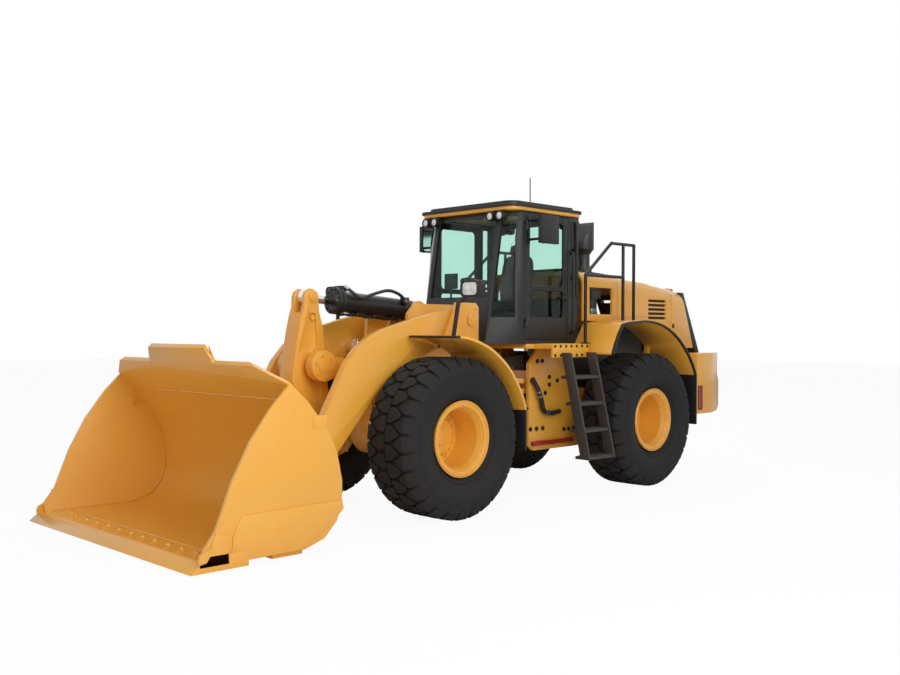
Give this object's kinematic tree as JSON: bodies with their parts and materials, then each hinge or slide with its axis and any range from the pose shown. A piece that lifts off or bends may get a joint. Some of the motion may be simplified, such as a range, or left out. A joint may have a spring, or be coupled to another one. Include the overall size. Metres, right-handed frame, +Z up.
{
  "type": "wheel loader",
  "caption": "Articulated wheel loader with a toothless bucket on a lever linkage, a glazed cab between the axles and a rear engine under a tilting hood.",
  "frame": {"origin": "centre of the bounding box's bottom face, on the ground in the middle of the machine's length", "axes": "+X towards the bucket, +Y to the driver's left, +Z up"},
  "size_m": [9.403, 3.254, 4],
  "materials": {
    "yellow_paint": "satin",
    "black_paint": "satin",
    "dark_steel": "worn",
    "chrome_rod": "polished",
    "rubber": "matte",
    "tyre": "matte",
    "trim": "matte",
    "red_paint": "satin",
    "glass": "clear"
  },
  "bodies": {
    "rear_chassis": {"rear_frame": "yellow_paint", "rear_axle": "yellow_paint", "hitch_pins": "dark_steel", "powertrain": "dark_steel", "counterweight": "yellow_paint", "rear_grille": "black_paint", "platform": "yellow_paint", "ladders": "black_paint", "handrails": "black_paint", "rear_fenders": "yellow_paint", "rear_flaps": "rubber", "fuel_filter": "dark_steel", "lock_bar": "red_paint", "cab_frame": "black_paint", "cab_glass": "glass", "cab_roof": "black_paint", "roof_band": "yellow_paint", "roof_lamps": "black_paint", "seat": "trim", "console": "trim"},
    "front_chassis": {"front_frame": "yellow_paint", "front_axle": "yellow_paint", "front_fenders": "yellow_paint", "front_flaps": "rubber", "headlamps": "black_paint", "tilt_pin": "dark_steel"},
    "lift_arms": {"lift_arm_left": "yellow_paint", "lift_arm_right": "yellow_paint", "arm_cross_tube": "yellow_paint"},
    "bucket_pins": {"bucket_pins": "dark_steel"},
    "bucket": {"bucket": "yellow_paint", "cutting_edge": "dark_steel"},
    "lever_pin": {"lever_pin": "dark_steel"},
    "lever": {"lever": "yellow_paint"},
    "link_pin": {"link_pin": "dark_steel"},
    "tilt_link": {"tilt_link": "yellow_paint"},
    "tilt_barrel": {"tilt_barrel": "black_paint"},
    "tilt_rod": {"tilt_rod": "chrome_rod"},
    "lift_barrels": {"lift_barrels": "black_paint"},
    "lift_rods": {"lift_rods": "chrome_rod"},
    "hood": {"hood": "yellow_paint", "hood_deck": "black_paint", "exhaust_stack": "dark_steel"},
    "door_left": {"door_left": "black_paint", "mirror_left": "black_paint"},
    "steer_barrel_left": {"steer_barrel_left": "black_paint"},
    "steer_rod_left": {"steer_rod_left": "chrome_rod"},
    "wheel_front_left": {"tyre_front_left": "tyre", "rim_front_left": "yellow_paint"},
    "wheel_rear_left": {"tyre_rear_left": "tyre", "rim_rear_left": "yellow_paint"},
    "door_right": {"door_right": "black_paint", "mirror_right": "black_paint"},
    "steer_barrel_right": {"steer_barrel_right": "black_paint"},
    "steer_rod_right": {"steer_rod_right": "chrome_rod"},
    "wheel_front_right": {"tyre_front_right": "tyre", "rim_front_right": "yellow_paint"},
    "wheel_rear_right": {"tyre_rear_right": "tyre", "rim_rear_right": "yellow_paint"}
  },
  "joints": [
    {"name": "steer", "type": "hinge", "parent": "rear_chassis", "child": "front_chassis", "pos_m": [-0.4265, 0, 1], "axis": [0, 0, 1], "range_deg": [-40, 40]},
    {"name": "wheel_front_left_spin", "type": "hinge", "parent": "front_chassis", "child": "wheel_front_left", "pos_m": [1.3485, 1.115, 0.87], "axis": [0, 1, 0], "continuous": true},
    {"name": "wheel_front_right_spin", "type": "hinge", "parent": "front_chassis", "child": "wheel_front_right", "pos_m": [1.3485, -1.115, 0.87], "axis": [0, 1, 0], "continuous": true},
    {"name": "wheel_rear_left_spin", "type": "hinge", "parent": "rear_chassis", "child": "wheel_rear_left", "pos_m": [-2.2015, 1.115, 0.87], "axis": [0, 1, 0], "continuous": true},
    {"name": "wheel_rear_right_spin", "type": "hinge", "parent": "rear_chassis", "child": "wheel_rear_right", "pos_m": [-2.2015, -1.115, 0.87], "axis": [0, 1, 0], "continuous": true},
    {"name": "lift", "type": "hinge", "parent": "front_chassis", "child": "lift_arms", "pos_m": [0.5535, 0, 2.15], "axis": [0, -1, 0], "range_deg": [0, 86]},
    {"name": "bucket_level", "type": "hinge", "parent": "lift_arms", "child": "bucket_pins", "pos_m": [2.9035, 0, 0.43], "axis": [0, -1, 0], "range_deg": [-86, 0]},
    {"name": "bucket_tilt", "type": "hinge", "parent": "bucket_pins", "child": "bucket", "pos_m": [2.9035, 0, 0.43], "axis": [0, 1, 0], "range_deg": [-40, 48]},
    {"name": "lever_level", "type": "hinge", "parent": "lift_arms", "child": "lever_pin", "pos_m": [2.3535, 0, 1.634], "axis": [0, -1, 0], "range_deg": [0, 18.64]},
    {"name": "lever_tilt", "type": "hinge", "parent": "lever_pin", "child": "lever", "pos_m": [2.3535, 0, 1.634], "axis": [0, -1, 0], "range_deg": [-40, 40]},
    {"name": "link_level", "type": "hinge", "parent": "lever", "child": "link_pin", "pos_m": [2.2135, 0, 0.955], "axis": [0, -1, 0], "range_deg": [-42.54, 0]},
    {"name": "link_tilt", "type": "hinge", "parent": "link_pin", "child": "tilt_link", "pos_m": [2.2135, 0, 0.955], "axis": [0, -1, 0], "range_deg": [-60, 60]},
    {"name": "tilt_barrel_swing", "type": "hinge", "parent": "front_chassis", "child": "tilt_barrel", "pos_m": [0.8555, 0, 2.261], "axis": [0, -1, 0], "range_deg": [0, 100.04]},
    {"name": "tilt_rod_slide", "type": "slide", "parent": "tilt_barrel", "child": "tilt_rod", "axis": [0.997, 0, 0.0772], "range_m": [-0.1131, 0.0943]},
    {"name": "lift_barrel_swing", "type": "hinge", "parent": "front_chassis", "child": "lift_barrels", "pos_m": [0.3735, 0, 0.72], "axis": [0, -1, 0], "range_deg": [0, 24.55]},
    {"name": "lift_rod_slide", "type": "slide", "parent": "lift_barrels", "child": "lift_rods", "axis": [0.6281, 0, 0.7781], "range_m": [0, 0.762]},
    {"name": "steer_barrel_left_swing", "type": "hinge", "parent": "rear_chassis", "child": "steer_barrel_left", "pos_m": [-1.2765, 0.27, 1], "axis": [0, 0, 1], "range_deg": [-7.41, 7.41]},
    {"name": "steer_rod_left_slide", "type": "slide", "parent": "steer_barrel_left", "child": "steer_rod_left", "axis": [0.9943, 0.1062, 0], "range_m": [-0.2398, 0.2398]},
    {"name": "steer_barrel_right_swing", "type": "hinge", "parent": "rear_chassis", "child": "steer_barrel_right", "pos_m": [-1.2765, -0.27, 1], "axis": [0, 0, 1], "range_deg": [-7.41, 7.41]},
    {"name": "steer_rod_right_slide", "type": "slide", "parent": "steer_barrel_right", "child": "steer_rod_right", "axis": [0.9943, -0.1062, 0], "range_m": [-0.2398, 0.2398]},
    {"name": "door_left_swing", "type": "hinge", "parent": "rear_chassis", "child": "door_left", "pos_m": [-0.3375, 0.812, 2.6], "axis": [0, 0, -1], "range_deg": [0, 90]},
    {"name": "door_right_swing", "type": "hinge", "parent": "rear_chassis", "child": "door_right", "pos_m": [-0.3375, -0.812, 2.6], "axis": [0, 0, 1], "range_deg": [0, 90]},
    {"name": "hood_lift", "type": "hinge", "parent": "rear_chassis", "child": "hood", "pos_m": [-3.9065, 0, 2.64], "axis": [0, -1, 0], "range_deg": [0, 60]}
  ],
  "couplings": [
    {"joint": "bucket_level", "follows": "lift", "ratio": -1},
    {"joint": "lever_level", "follows": "lift", "ratio": 0.2167},
    {"joint": "lever_tilt", "follows": "bucket_tilt", "ratio": 0.1857},
    {"joint": "link_level", "follows": "lift", "ratio": -0.4946},
    {"joint": "link_tilt", "follows": "bucket_tilt", "ratio": -0.2372},
    {"joint": "tilt_barrel_swing", "follows": "lift", "ratio": 1.1632},
    {"joint": "tilt_rod_slide", "follows": "bucket_tilt", "m_per_rad": -0.13501},
    {"joint": "lift_barrel_swing", "follows": "lift", "ratio": 0.28543},
    {"joint": "lift_rod_slide", "follows": "lift", "m_per_rad": 0.50764},
    {"joint": "steer_barrel_left_swing", "follows": "steer", "ratio": 0.18518},
    {"joint": "steer_rod_left_slide", "follows": "steer", "m_per_rad": -0.34354},
    {"joint": "steer_barrel_right_swing", "follows": "steer", "ratio": 0.18518},
    {"joint": "steer_rod_right_slide", "follows": "steer", "m_per_rad": 0.34354}
  ]
}
